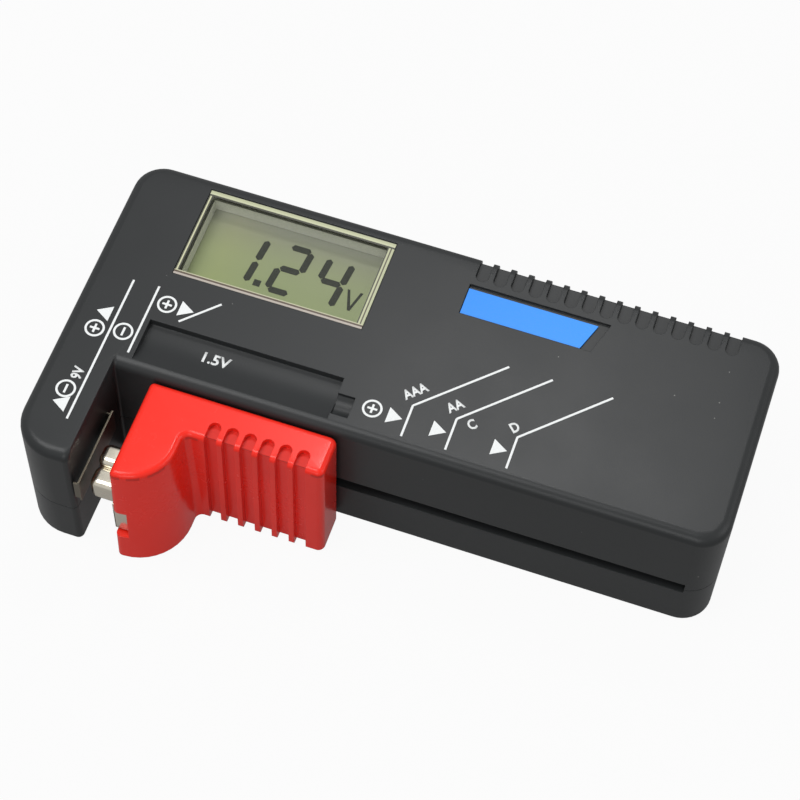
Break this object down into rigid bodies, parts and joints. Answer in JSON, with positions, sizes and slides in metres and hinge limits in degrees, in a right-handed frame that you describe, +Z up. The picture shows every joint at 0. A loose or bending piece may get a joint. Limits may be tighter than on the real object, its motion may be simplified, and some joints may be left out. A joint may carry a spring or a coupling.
{
  "type": "battery tester",
  "caption": "Pocket battery tester: dark L-shaped case with a small display, a fixed jaw with a leaf contact and a red spring-loaded slider that clamps round cells of several sizes.",
  "frame": {"origin": "centre of the bounding box's footprint, on the surface the case lies on", "axes": "+X along the case, from the fixed jaw towards the far end; +Y from the slider side to the back; +Z up through the display"},
  "size_m": [0.11, 0.0582, 0.0266],
  "materials": {
    "case_abs": "satin, slightly glossy moulded ABS",
    "slider_abs": "glossy moulded red ABS",
    "lens": "clear moulded acrylic",
    "lcd_glass": "green-grey display glass",
    "lcd_ink": "dark display segments",
    "lcd_film": "grey-green reflector film",
    "dark_plastic": "moulded black plastic",
    "zebra_rubber": "conductive rubber",
    "board": "green fibreglass board",
    "epoxy": "black epoxy",
    "steel_screw": "zinc plated steel",
    "spring_steel": "bright spring wire",
    "nickel": "nickel plated strip",
    "bronze": "phosphor bronze strip",
    "resistor_body": "tan lacquered resistor",
    "ceramic_body": "cement resistor body",
    "capacitor_sleeve": "blue sleeve",
    "trimmer_blue": "blue trimmer body",
    "white_ink": "white pad-printed ink",
    "label_blue": "glossy blue label",
    "carriage_pom": "natural acetal",
    "wire_yellow": "insulated wire",
    "wire_red": "insulated wire",
    "wire_black": "insulated wire",
    "wire_blue": "insulated wire"
  },
  "bodies": {
    "case": {"top_case": "case_abs", "bottom_case": "case_abs", "case_screws": "steel_screw", "lcd_window": "lens", "lcd_cell": "lcd_glass", "lcd_digits": "lcd_ink", "lcd_reflector": "lcd_film", "lcd_frame": "dark_plastic", "zebra_strips": "zebra_rubber", "circuit_board": "board", "board_screws": "steel_screw", "display_chip": "epoxy", "amplifier_chip": "epoxy", "resistors": "resistor_body", "capacitors": "capacitor_sleeve", "calibration_trimmer": "trimmer_blue", "load_resistor": "ceramic_body", "label_plate": "label_blue", "printed_marks": "white_ink", "jaw_contact": "nickel", "nine_volt_plus_contact": "nickel", "nine_volt_minus_contact": "nickel", "contact_rail": "nickel", "spring_pin": "steel_screw", "return_spring": "spring_steel", "jaw_wire": "wire_yellow", "plus_wire": "wire_red", "minus_wire": "wire_black", "rail_wire": "wire_blue"},
    "slider": {"slider_shell": "slider_abs", "slider_back": "slider_abs", "slider_screws": "steel_screw", "slider_contact": "nickel", "slide_carriage": "carriage_pom", "carriage_screws": "steel_screw", "wiper": "bronze", "slider_lead": "wire_yellow"}
  },
  "joints": [
    {"name": "slider_slide", "type": "slide", "parent": "case", "child": "slider", "axis": [1, 0, 0], "range_m": [0, 0.062], "stiffness_N_per_m": 50, "springref_m": -0.04, "deforming": ["return_spring"]}
  ]
}
